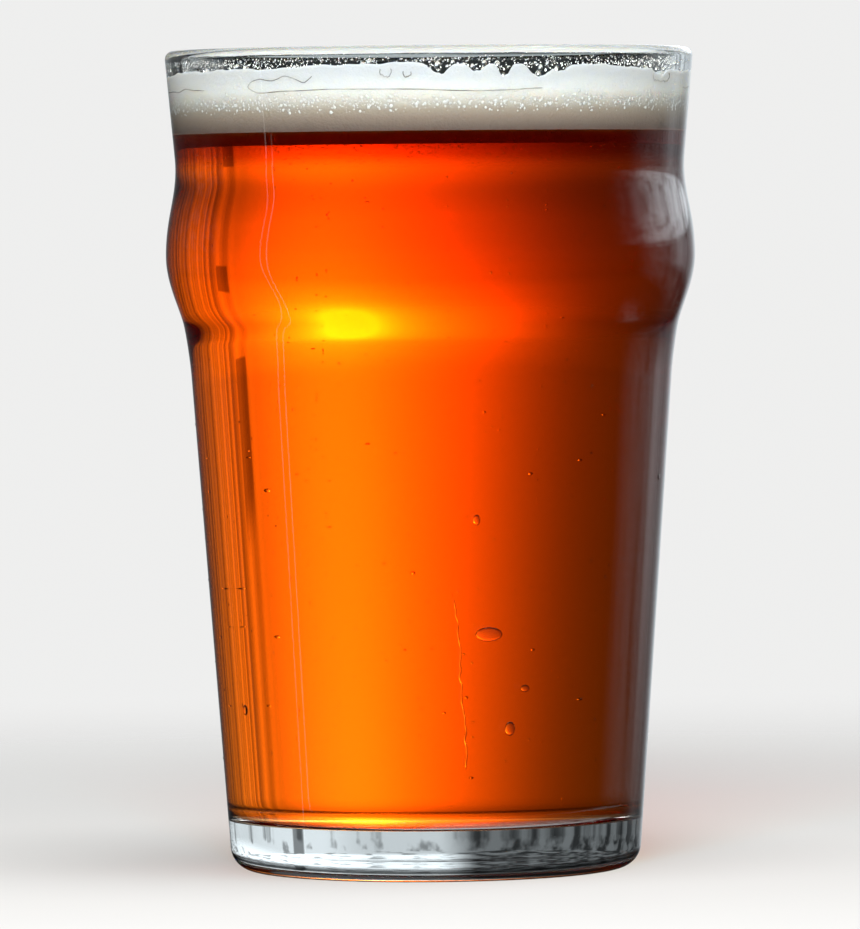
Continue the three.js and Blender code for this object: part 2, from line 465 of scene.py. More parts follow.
def clear_bead(name, bend_of_light):
    """A clear bead whose surface has the faint waver of a film, so that it glints unevenly."""
    material, tree, output = new_material(name)
    waver = add_node(tree, "Group", {"node_tree": FILM_WAVER}, {"Scale": BEAD_WAVER_SCALE})
    bump = add_node(tree, "Bump", inputs={
        "Height": waver.outputs["Height"],
        "Strength": 0.15,
        "Distance": BEAD_WAVER_DEPTH,
    })
    shader = add_node(tree, "BsdfPrincipled", inputs={
        "Base Color": CLEAR,
        "Roughness": 0.0,
        "IOR": bend_of_light,
        "Transmission Weight": 1.0,
        "Normal": bump.outputs[0],
    })
    let_light_through(tree, output, shader, CLEAR)
    return material


bubble_centres, bubble_radii = gas_bubbles()
bubble_points, bubble_faces = copies(ball(6, 4), bubble_centres, round_axes(bubble_radii))
bubbles = make_piece("gas_bubbles", bubble_points, bubble_faces, clear_bead("gas", GAS_IOR))
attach(bubbles, "root")

# The head: fine cream foam that rose off the ale as it was poured. It has sunk a little since, and left a
# collar of foam clinging to the wall above it, ragged along its upper edge and slipped in places.
FOAM_BASE = ALE_LEVEL - 0.25 * MM
FOAM_WETTING = 0.09 * MM
HEAD_TOP = 130.4 * MM
CLING_TOP = 134.95 * MM
CLING_FOOT = 3.2 * MM
CLING_EDGE = 0.35 * MM
CLING_FALL = 0.9 * MM
RAGGED_HEIGHT = 0.3 * MM
RAGGED_WAVES = ((3, 0.0, 0.5), (7, 1.3, 0.4), (16, 2.6, 0.35), (37, 0.9, 0.25), (71, 4.1, 0.2))
SWELL_HEIGHT = 0.45 * MM
SWELLS = ((31 * MM, 0.6, 0.67), (19 * MM, 2.5, 0.4), (12.5 * MM, 4.4, 0.29))
BUBBLE_LAYERS = ((4.2 * MM, 0.16, 11), (2.1 * MM, 0.4, 12), (1.15 * MM, 0.85, 13))
BUBBLE_SINK = 0.62
BUBBLE_GAP = 0.1
BUBBLE_PLACE = (0.15, 0.7)
BUBBLE_SIZE = (0.3, 0.35)
HEAD_COLUMNS = 640
HEAD_ROWS = 92
WALL_ROWS = 24
CLING_ROWS = 14
UNDER_ROWS = 7
CORNER_SHARE = 0.998
CORNER_CLIMB = 0.005
# Foam colour by height: darker towards the ale, partly wetter foam and partly painted shade of the lower
# foam.
FOAM_WET_AND_SHADED_TONES = (
    (124.2 * MM, (0.16, 0.12, 0.105, 1)),
    (126.4 * MM, (0.36, 0.29, 0.235, 1)),
    (127.6 * MM, (0.48, 0.41, 0.335, 1)),
    (128.6 * MM, (0.68, 0.64, 0.56, 1)),
    (129.6 * MM, (0.85, 0.82, 0.76, 1)),
    (130.8 * MM, (0.94, 0.92, 0.87, 1)),
)
FRONT_SLIPS = ((2.2, 2.3, 2.0), (10.9, 1.8, 1.3), (17.0, 1.5, 2.1), (25.5, 3.0, 1.8), (31.0, 2.2, 1.2))
MORE_SLIPS = 12
MORE_SLIPS_FROM = 48
MORE_SLIPS_TO = 285
MORE_SLIPS_WIDTHS = (1.5, 4.5)
MORE_SLIPS_DEPTHS = (0.5, 2.2)
SLIP_UNEVEN = 0.25
SLIP_SEED = 14
DRAW_SIZE = 97
COARSE_CELLS = 0.9 * MM
FINE_CELLS = 0.4 * MM
CELL_DEPTH = 0.15 * MM
FOAM_SOAK = 2.5 * MM
FOAM_SOAK_SHARES = (1.0, 0.85, 0.65)


def domes(across, along, cell, share, seed):
    """Balls on a jittered grid: each cell may hold one, of random place and size, and the height at a point
    is that of the highest ball over it, the square root of its radius squared less the distance squared."""
    least_place, place_range = BUBBLE_PLACE
    least_size, size_range = BUBBLE_SIZE
    draws = np.random.default_rng(seed).random((DRAW_SIZE, DRAW_SIZE, 4))
    column = np.floor(across / cell).astype(int)
    row = np.floor(along / cell).astype(int)
    height = np.zeros_like(across)
    for right in (-1, 0, 1):
        for up in (-1, 0, 1):
            draw = draws[(column + right) % DRAW_SIZE, (row + up) % DRAW_SIZE]
            centre_x = (column + right + least_place + place_range * draw[..., 0]) * cell
            centre_y = (row + up + least_place + place_range * draw[..., 1]) * cell
            radius = cell * (least_size + size_range * draw[..., 2]) * (draw[..., 3] < share)
            over = radius**2 - (across - centre_x) ** 2 - (along - centre_y) ** 2
            height = np.maximum(height, np.sqrt(np.maximum(over, 0)))
    return height


def swell(across, along):
    """Long low swells: sine waves of a few lengths, each running across the head in its own direction."""
    return sum(
        strength * np.sin((across * np.cos(turn) + along * np.sin(turn)) * 2 * np.pi / length + turn)
        for length, turn, strength in SWELLS
    )


def ragged(turn):
    """The collar's uneven edge: sine waves counted round the glass."""
    return sum(strength * np.sin(count * turn + start) for count, start, strength in RAGGED_WAVES)


def from_front(degrees):
    """The turn of a place on the wall, given in degrees to the right of the photographed side."""
    return np.radians(np.asarray(degrees, float) - 90)


def slips(turn):
    """How far the collar has slipped down: flat-topped bell-shaped dips, some placed and the others at
    random."""
    draw = np.random.default_rng(SLIP_SEED)
    others = np.column_stack((
        draw.uniform(MORE_SLIPS_FROM, MORE_SLIPS_TO, MORE_SLIPS),
        draw.uniform(*MORE_SLIPS_WIDTHS, MORE_SLIPS),
        draw.uniform(*MORE_SLIPS_DEPTHS, MORE_SLIPS),
    ))
    dips = np.vstack((FRONT_SLIPS, others))
    centre, width, depth = from_front(dips[:, :1]), np.radians(dips[:, 1:2]), dips[:, 2:] * MM
    off = (turn - centre + np.pi) % (2 * np.pi) - np.pi
    deepest = (depth * np.exp(-np.abs(off / width) ** 3)).max(axis=0)
    return deepest * (1 + SLIP_UNEVEN * ragged(3 * turn))


def collar_edge(turn):
    """Height of the collar's upper edge round the glass: lower at the back, ragged, and slipped in
    places."""
    fall = CLING_FALL * (1 - np.cos(turn - from_front(0)))
    return CLING_TOP - fall + RAGGED_HEIGHT * ragged(turn) - slips(turn)


def foam_points():
    """The head as rows round the axis: flat underside, side on the glass, collar and bubbled top.
    The collar's inside is a quadratic bend from its thin upper edge down and in to the head."""
    turn = np.arange(HEAD_COLUMNS) * 2 * np.pi / HEAD_COLUMNS
    ones = np.ones_like(turn)
    inset = WALL - FOAM_WETTING
    edge = collar_edge(turn)

    share = np.append(np.linspace(0, CORNER_SHARE, UNDER_ROWS), 1)[:, None]
    under = share * flare_radius(FOAM_BASE, inset) * ones
    under_height = FOAM_BASE + 0 * under
    climb = np.append(CORNER_CLIMB, np.linspace(0, 1, WALL_ROWS + 1)[1:])[:, None]
    side_height = FOAM_BASE + climb * (edge - FOAM_BASE)
    side = flare_radius(side_height, inset)

    t = np.linspace(0, 1, CLING_ROWS + 1)[:, None]
    head_radius = flare_radius(HEAD_TOP, inset) - CLING_FOOT
    thin = flare_radius(edge, inset) - CLING_EDGE
    cling = (1 - t) ** 2 * thin + 2 * t * (1 - t) * (thin - CLING_EDGE) + t**2 * head_radius
    cling_height = (1 - t) ** 2 * edge + 2 * t * (1 - t) * HEAD_TOP + t**2 * HEAD_TOP
    top = head_radius * np.linspace(1, 0, HEAD_ROWS + 1)[1:, None] * ones
    top_height = HEAD_TOP + 0 * top

    inner = np.vstack((cling, top))
    across, along = inner * np.cos(turn), inner * np.sin(turn)
    bubbled = np.vstack((t**2 * ones, np.ones_like(top)))
    bubbles = np.zeros_like(inner)
    for cell, filled, seed in BUBBLE_LAYERS:
        bubbles = np.maximum(bubbles, domes(across, along, cell, filled, seed) - cell * BUBBLE_GAP)
    relief = BUBBLE_SINK * np.maximum(bubbles, 0) + SWELL_HEIGHT * swell(across, along)
    inner_height = np.vstack((cling_height, top_height)) + bubbled * relief
    inner_height[-1] = inner_height[-1].mean()

    radius = np.vstack((under, side, inner))
    height = np.vstack((under_height, side_height, inner_height))
    return on_circle(radius, turn, height)


def cream_foam():
    """Cream foam of fine bubbles: cells in the relief, with light soaking in. It darkens towards the ale,
    partly as wetter foam and partly as painted shade where light from above doesn't reach."""
    material, tree, output = new_material("cream_foam")
    place = add_node(tree, "TexCoord").outputs["Object"]
    coarse = add_node(tree, "TexVoronoi", inputs={"Vector": place, "Scale": 1 / COARSE_CELLS})
    fine = add_node(tree, "TexVoronoi", inputs={"Vector": place, "Scale": 1 / FINE_CELLS})
    cells = add_node(tree, "Math", {"operation": "ADD"}, {0: coarse.outputs[0], 1: fine.outputs[0]})
    bump = add_node(tree, "Bump", {"invert": True},
                    {"Height": cells.outputs[0], "Strength": 0.5, "Distance": CELL_DEPTH})
    shader = add_node(tree, "BsdfPrincipled", inputs={
        "Base Color": tone_by_height(tree, FOAM_WET_AND_SHADED_TONES),
        "Roughness": 0.55,
        "Subsurface Weight": 1.0,
        "Subsurface Radius": FOAM_SOAK_SHARES,
        "Subsurface Scale": FOAM_SOAK,
        "Normal": bump.outputs[0],
    })
    tree.links.new(shader.outputs[0], output.inputs["Surface"])
    return material


head_points = foam_points()
head = make_piece("foam_head", head_points, round_faces(head_points), cream_foam())
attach(head, "root")
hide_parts("foam")

# Bubbles along the top of the head: larger, drier bubbles pressed against the glass where the collar begins.
# They are the same foam, so thin that they catch the light as white dots.
EDGE_BUBBLES = 3600
EDGE_RADII = (0.08 * MM, 0.38 * MM)
EDGE_HEIGHT = 128.9 * MM
EDGE_SPREAD = 0.75 * MM
EDGE_LIMIT = 2.2
EDGE_SET_IN = 0.5
EDGE_SEED = 22
FILM_SHADE = (0.78, 0.76, 0.71, 1)
FILM_WHITE = (1.0, 0.99, 0.96, 1)
FILM_PATCHES = 700


def edge_bubbles():
    """Centres and radii of balls set into the side of the head, crowding round one height and thinning out.
    Their heights follow a bell curve, cut off at either end."""
    draw = np.random.default_rng(EDGE_SEED)
    radius = mostly_small(draw, EDGE_BUBBLES, EDGE_RADII, 4)
    height = EDGE_HEIGHT + EDGE_SPREAD * np.clip(draw.normal(size=EDGE_BUBBLES), -EDGE_LIMIT, EDGE_LIMIT)
    turn = draw.uniform(0, 2 * np.pi, EDGE_BUBBLES)
    return on_circle(flare_radius(height, WALL - FOAM_WETTING) - EDGE_SET_IN * radius, turn, height), radius


def bubble_white():
    """White film of foam, a little uneven in brightness from bubble to bubble."""
    material, tree, output = new_material("bubble_white")
    tone = add_node(tree, "ValToRGB", inputs={0: noise(tree, FILM_PATCHES)})
    set_ramp(tone.color_ramp, ((0, FILM_SHADE), (1, FILM_WHITE)))
    shader = add_node(tree, "BsdfPrincipled", inputs={
        "Base Color": tone.outputs[0],
        "Roughness": 0.3,
        "Subsurface Weight": 0.4,
        "Subsurface Radius": (1.0, 0.9, 0.8),
        "Subsurface Scale": 0.3 * MM,
    })
    tree.links.new(shader.outputs[0], output.inputs["Surface"])
    return material


edge_centres, edge_radii = edge_bubbles()
edge_points, edge_faces = copies(ball(7, 4), edge_centres, round_axes(edge_radii))
head_edge = make_piece("edge_bubbles", edge_points, edge_faces, bubble_white())
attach(head_edge, "root")

# Film lines: where the foam on the wall has dried, the film ends in hair-thin grey lines: a long edge that
# turns back on itself, tide lines a little above the head, and the rounded lower edges of drips, whose grey
# line is partly dried film and partly painted shade at the drip's lower edge. They lie on the inside of the
# glass. Places are in degrees to the right of the photographed side, and heights.
LINE_RADIUS = 0.075 * MM
LINE_SIDES = 5
LINE_GREY = (0.18, 0.165, 0.15, 1)
LINE_PALE = (0.6, 0.57, 0.53, 1)
TIDE_HEIGHT = 131.2 * MM
TIDE_WAVER = 0.25 * MM
TIDE_LINES = ((78, 150, 32), (190, 300, 33))
FILM_EDGE = (
    (-26.8, 133.3), (-27.4, 132.8), (-28.9, 132.05), (-30.8, 132.65), (-33.8, 133.35), (-35.6, 132.9),
    (-37.7, 132.5), (-40.7, 133.0), (-43.4, 132.5), (-44.9, 131.65), (-42.0, 130.55), (-34.8, 130.75),
    (-27.0, 130.9), (-18.0, 131.0), (-8.0, 130.95), (1.0, 130.75), (10.0, 130.55), (19.0, 130.75),
    (27.0, 131.0),
)
EDGE_WAVER = 0.06 * MM
EDGE_WAVER_SEED = 31
# Drip lines: grey lower edges of drips, partly dried film and partly painted shade at each drip's lower
# edge.
DRIP_EDGES_AND_SHADE = (
    (-9.6, 133.8 * MM, 1.3, 0.85 * MM, 39),
    (-4.8, 133.5 * MM, 0.9, 0.6 * MM, 34),
    (64, 133.0 * MM, 4, 0.9 * MM, 35),
    (151, 132.4 * MM, 7, 0.7 * MM, 36),
)
DRIP_WAVER = 0.2
DRIP_FROM = 0.85 * np.pi
DRIP_TO = 2.15 * np.pi
LINE_STEPS = 160
SMOOTHING = 9
WAVES = 5
LINE_PATCHES = 350
PATCHES_FROM = 0.35
PATCHES_TO = 0.65


def wobble(seed, steps):
    """A wavering value along a line: sine waves of random phase, each shorter one lower."""
    phase = np.random.default_rng(seed).uniform(0, 2 * np.pi, WAVES)
    along = np.linspace(0, 1, steps)
    return sum(np.sin((3 * k + 2) * 2 * np.pi * along + phase[k]) / (k + 1.5) for k in range(WAVES))


def thread(path, radius, sides):
    """A thin tube along a path on the wall: at each point a circle across the path, closed to a point at the
    ends. The circle is spanned by the direction out of the wall and by its cross product with the path's
    direction."""
    ahead = np.gradient(path, axis=0)
    ahead /= np.linalg.norm(ahead, axis=1)[:, None]
    out = path * (1, 1, 0)
    out /= np.linalg.norm(out, axis=1)[:, None]
    side = np.cross(ahead, out)
    width = radius * np.ones(len(path))
    width[[0, -1]] = 0
    turn = np.arange(sides) * 2 * np.pi / sides
    circle = np.cos(turn)[:, None] * out[:, None] + np.sin(turn)[:, None] * side[:, None]
    return path[:, None] + width[:, None, None] * circle


def join(grids):
    """The points and faces of several grids as one mesh."""
    counts = [grid.shape[0] * grid.shape[1] for grid in grids]
    first = np.cumsum([0] + counts[:-1])
    points = np.vstack([grid.reshape(-1, 3) for grid in grids])
    return points, np.vstack([round_faces(grid) + start for grid, start in zip(grids, first)])


def smoothed(corners, steps):
    """Points in even steps along straight lines between the corners, each then averaged with its
    neighbours, the near ones most."""
    along = np.linspace(0, len(corners) - 1, steps)
    weights = np.hanning(SMOOTHING + 2)
    weights /= weights.sum()
    ends = (SMOOTHING + 1) // 2
    columns = [np.interp(along, np.arange(len(corners)), column) for column in np.transpose(corners)]
    padded = [np.pad(column, ends, "edge") for column in columns]
    return np.column_stack([np.convolve(column, weights, "valid") for column in padded])


def film_line(degrees, height):
    """A thread on the inside of the wall through places given by their degrees and heights."""
    radius = flare_radius(height, WALL - FOAM_WETTING - LINE_RADIUS)
    return thread(on_circle(radius, from_front(degrees), height), LINE_RADIUS, LINE_SIDES)


def film_lines():
    """Tide lines as arcs that waver in height, one film edge through given places, and drips as the lower
    parts of flattened rings that waver, partly dried film and partly painted shade at each drip's lower
    edge."""
    grids = []
    for start, end, seed in TIDE_LINES:
        degrees = np.linspace(start, end, LINE_STEPS)
        grids.append(film_line(degrees, TIDE_HEIGHT + TIDE_WAVER * wobble(seed, LINE_STEPS)))
    degrees, height = smoothed(FILM_EDGE, LINE_STEPS).T
    grids.append(film_line(degrees, height * MM + EDGE_WAVER * wobble(EDGE_WAVER_SEED, LINE_STEPS)))
    for centre, middle, half_width, half_height, seed in DRIP_EDGES_AND_SHADE:
        round_drip = np.linspace(DRIP_FROM, DRIP_TO, LINE_STEPS)
        height = middle + half_height * (np.sin(round_drip) + DRIP_WAVER * wobble(seed, LINE_STEPS))
        grids.append(film_line(centre + half_width * np.cos(round_drip), height))
    return join(grids)


def dried_film():
    """Thin grey film, darker and lighter along its length."""
    material, tree, output = new_material("dried_film")
    patches = noise(tree, LINE_PATCHES)
    tone = add_node(tree, "MapRange", inputs={0: patches, 1: PATCHES_FROM, 2: PATCHES_TO})
    colour = add_node(tree, "Mix", {"data_type": "RGBA"}, {0: tone.outputs[0], 6: LINE_GREY, 7: LINE_PALE})
    shader = add_node(tree, "BsdfPrincipled", inputs={"Base Color": colour.outputs[2], "Roughness": 0.5})
    tree.links.new(shader.outputs[0], output.inputs["Surface"])
    return material


line_points, line_faces = film_lines()
lines = make_piece("film_lines", line_points, line_faces, dried_film())
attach(lines, "root")

# Drops inside the rim: drink that splashed the wall above the foam has drawn itself into beads, crowded in a
# band just over the collar and larger where the collar has slipped.
BAND_DROPS = 1500
BAND_HEIGHT = 135.75 * MM
BAND_SPREAD = 0.3 * MM
BAND_LIMITS = (-2, 1.6)
BAND_RADII = (0.06, 0.2)
SLIPPED_DROPS = 260
SLIPPED_HEIGHTS = (132.6 * MM, 135.4 * MM)
SLIPPED_RADII = (0.2, 0.6)
BEAD_TALL = (0.8, 1.7)
BEAD_DEEP = 0.55
BEAD_SET_IN = 0.7
RIM_SEED = 23
WATER_IOR = 1.33
LEAN_STEP = 0.2 * MM


def wall_axes(turn, height, wide, tall, deep):
    """Axes for what sits on the wall: along its girth, up its slope and straight out of it, each as long as
    the thing's half width, half height or half depth. The slope is the change of the wall's radius with
    height."""
    widening = wall_radius(height + LEAN_STEP, 0) - wall_radius(height - LEAN_STEP, 0)
    lean = np.arctan(widening / (2 * LEAN_STEP))
    girth = on_circle(1, turn + np.pi / 2, 0)
    upward = on_circle(np.sin(lean), turn, np.cos(lean))
    outward = on_circle(np.cos(lean), turn, -np.sin(lean))
    return np.stack((girth * wide[:, None], upward * tall[:, None], outward * deep[:, None]), axis=1)


def rim_drops():
    """Flattened balls on the inside of the wall: many small ones in a band, their heights on a bell curve
    cut off at either end, and fewer larger ones below it."""
    draw = np.random.default_rng(RIM_SEED)
    count = BAND_DROPS + SLIPPED_DROPS
    turn = draw.uniform(0, 2 * np.pi, count)
    band = BAND_HEIGHT + BAND_SPREAD * np.clip(draw.normal(size=BAND_DROPS), *BAND_LIMITS)
    height = np.concatenate((band, draw.uniform(*SLIPPED_HEIGHTS, SLIPPED_DROPS)))
    small = draw.uniform(*BAND_RADII, BAND_DROPS)
    wide = np.concatenate((small, draw.uniform(*SLIPPED_RADII, SLIPPED_DROPS))) * MM
    tall = wide * draw.uniform(*BEAD_TALL, count)
    deep = wide * BEAD_DEEP
    centres = on_circle(wall_radius(height, WALL) - BEAD_SET_IN * deep, turn, height)
    return copies(ball(8, 4), centres, wall_axes(turn, height, wide, tall, deep))


rim_points, rim_faces = rim_drops()
rim_beads = make_piece("rim_drops", rim_points, rim_faces, clear_bead("water", WATER_IOR))
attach(rim_beads, "root")

# Drops outside: a few drops of water and one that has run, clear and low on the wall, with fine dew between
# them. A drop has its degrees from the photographed side, its height and its half width, height and depth.
DROPS = (
    (14, 41.2, 2.3, 1.2, 0.14),
    (20, 25.5, 0.9, 1.2, 0.2),
    (24, 32.1, 0.8, 0.6, 0.14),
    (10.7, 60.1, 0.6, 0.9, 0.14),
    (75, 66, 0.6, 0.5, 0.14),
    (132, 48, 0.9, 1.3, 0.2),
    (205, 36, 1.1, 0.8, 0.18),
    (251, 71, 0.8, 1.2, 0.18),
    (300, 28, 0.8, 0.9, 0.18),
)
DROP_STANDS_OUT = 0.1
DEW = 240
DEW_HEIGHTS = (18 * MM, 88 * MM)
DEW_RADII = (0.08 * MM, 0.24 * MM)
DEW_TALL = (0.9, 1.4)
DEW_DEEP = 0.3
DEW_SEED = 24
RUN_TURNS = (5.5, 8.5)
RUN_HEIGHTS = (47 * MM, 19 * MM)
RUN_RADIUS = 0.2 * MM
RUN_SET_IN = 0.4
RUN_STEPS = 90
RUN_SIDES = 8
RUN_WAVER = 0.006
RUN_WAVER_SEED = 37
RUN_WIDTHS = (0.7, 0.2)
RUN_WIDTH_SEED = 38


def outside_drops():
    """Flattened balls on the outside of the wall, the drops listed and the dew at random."""
    draw = np.random.default_rng(DEW_SEED)
    named = np.array(DROPS)
    turn = np.concatenate((from_front(named[:, 0]), draw.uniform(0, 2 * np.pi, DEW)))
    height = np.concatenate((named[:, 1] * MM, draw.uniform(*DEW_HEIGHTS, DEW)))
    small = mostly_small(draw, DEW, DEW_RADII, 2)
    wide = np.concatenate((named[:, 2] * MM, small))
    tall = np.concatenate((named[:, 3] * MM, small * draw.uniform(*DEW_TALL, DEW)))
    deep = np.concatenate((named[:, 4] * MM, small * DEW_DEEP))
    centres = on_circle(wall_radius(height, 0) + DROP_STANDS_OUT * deep, turn, height)
    return copies(ball(12, 8), centres, wall_axes(turn, height, wide, tall, deep))


def drop_run():
    """The track of a drop that has run: a thread down the wall that wavers to the sides and in its width."""
    turn = from_front(np.linspace(*RUN_TURNS, RUN_STEPS)) + RUN_WAVER * wobble(RUN_WAVER_SEED, RUN_STEPS)
    height = np.linspace(*RUN_HEIGHTS, RUN_STEPS)
    path = on_circle(wall_radius(height, 0) - RUN_SET_IN * RUN_RADIUS, turn, height)
    width = RUN_WIDTHS[0] + RUN_WIDTHS[1] * wobble(RUN_WIDTH_SEED, RUN_STEPS)
    return thread(path, RUN_RADIUS * width, RUN_SIDES)


drop_points, drop_faces = outside_drops()
run = drop_run()
drop_faces = np.vstack((drop_faces, round_faces(run) + len(drop_points)))
drop_points = np.vstack((drop_points, run.reshape(-1, 3)))
drops = make_piece("outside_drops", drop_points, drop_faces, clear_bead("dew", WATER_IOR))
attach(drops, "root")

# The floor: a plain pale tabletop of matt card that fades out at its edge into the pale surroundings.
# It carries the glass and its shadow, and neither the glass nor the ale mirrors it.
FLOOR_REACH = 0.5
FLOOR_FADE = 0.08
FLOOR_RINGS = 9
FLOOR_SIDES = 64
FLOOR_PALE = (0.8, 0.79, 0.77, 1)


def pale_floor():
    """Pale matt card, whole near the glass and fading out towards its edge."""
    material, tree, output = new_material("pale_floor")
    place = add_node(tree, "TexCoord").outputs["Object"]
    distance = add_node(tree, "VectorMath", {"operation": "LENGTH"}, {0: place}).outputs["Value"]
    fade = add_node(tree, "MapRange", {"interpolation_type": "SMOOTHSTEP"},
                    {0: distance, 1: FLOOR_FADE, 2: FLOOR_REACH})
    matt = add_node(tree, "BsdfDiffuse", inputs={"Color": FLOOR_PALE})
    clear = add_node(tree, "BsdfTransparent")
    mix = add_node(tree, "MixShader", inputs={0: fade.outputs[0], 1: matt.outputs[0], 2: clear.outputs[0]})
    tree.links.new(mix.outputs[0], output.inputs["Surface"])
    return material


floor_rings = np.column_stack((np.linspace(0, FLOOR_REACH, FLOOR_RINGS), np.zeros(FLOOR_RINGS)))
floor_points = turned(floor_rings, FLOOR_SIDES)
floor = make_piece("floor", floor_points, round_faces(floor_points)[:, ::-1], pale_floor())
floor.visible_glossy = False
floor.visible_transmission = False

# The studio: a soft screen behind the glass with a lamp low over it and a post before it, and a dim room.
# The glass mirrors a cool pale sky to its right. Soft boxes light the foam, and the camera sees a plain
# backdrop. A fade is where it starts and ends, and then the values there unless they are 0 and 1.
SCREENS = ((10.2, 14.7, 3.2), (9.5, 6.5, 0.9), (11.5, 40.0, 0.34), (39.0, 10.0, 0.8), (58.0, 14.0, 0.45))
SCREEN_LEVELS = (
    (-24, 0.03), (-14, 0.15), (-10, 0.45), (-7, 0.6), (-5, 0.75), (-1.5, 0.87),
    (0, 0.95), (2, 1.0), (3.5, 0.95), (5, 1.1), (12, 1.15), (18, 0.8), (26, 0.03),
)
LEVEL_SPAN = 60.0
STREAKS = (24.0, 34.0)
STREAK_SHADES = (0.3, 0.7, 0.5, 1.5)
STREAK_SCALE = 0.5
LAMP_TURN = 9.3
LAMP_RISE = 11.0
LAMP_BELLS = ((20.0, 3.2, 2.2), (10.0, 6.5, 4.0), (5.0, 14.0, 5.5))
POST_TURN = 30.0
POST_HALF_WIDTH = 1.4
POST_FOOT = 1.4
POST_TOP = 6.2
POST_BLUR = 0.4
POST_FOOT_BLUR = 0.5
POST_SHADE = 0.6
SURROUND = 0.05
AROUND = (70.0, 120.0, 0.0, 2.2)
CLEAR_BRIGHT = 0.65
CLEAR_DIM = 0.07
CLEAR_AROUND = 0.5
CLEAR_EDGE = (-8.0, 0.0)
CLEAR_BLOCKS = (0.22, 0.5)
NEAR_BLOCKS = (0.36, 0.48, 0.4, 1.0)
FAR_BLOCKS = (0.4, 0.62, 0.4, 2.4)
CLEAR_POST_BLUR = 0.6
CLEAR_POST_SHADE = 0.3
CLEAR_POST_TOP = (2.6, 3.4)
CLEAR_RAISED = (2.0, 4.5, 1.0, 1.9)
CLEAR_FURTHER = (12.0, 24.0, 1.0, 1.35)
CLEAR_LEVEL = (14.0, 6.5, 0.06, 1.0)
CLEAR_TABLE = (-18.0, -26.0, 0.0, 0.8)
CLEAR_WIDTH = (75.0, 55.0)
SKYLINE_SHADE = 0.94
SKYLINE_FOOT = (-24.0, -20.0)
SKYLINE_TOP = (0.96, 0.9)
MIRRORED_SCREEN = 0.2
MIRRORED_SIDE = (40.0, 8.0, 0.32)
MIRRORED_LOW = (-8.5, -4.0, 0.1, 1.0)
MIRRORED_SKY = 1.05
SKY_RISE = (2.2, 3.6)
SKY_LEFT = (5.0, 20.0)
SKY_RIGHT = (95.0, 45.0)
CLOUD_SCALE = 0.7
CLOUDS = (0.3, 0.7, 0.45, 1.3)
RIM_CROSSINGS = 3.5
ALE_CROSSINGS = 4.5
COOL = (0.92, 1.0, 1.06, 1)
SOFT_LIGHT = 0.15
BACKDROP = (0.86, 0.86, 0.855, 1)


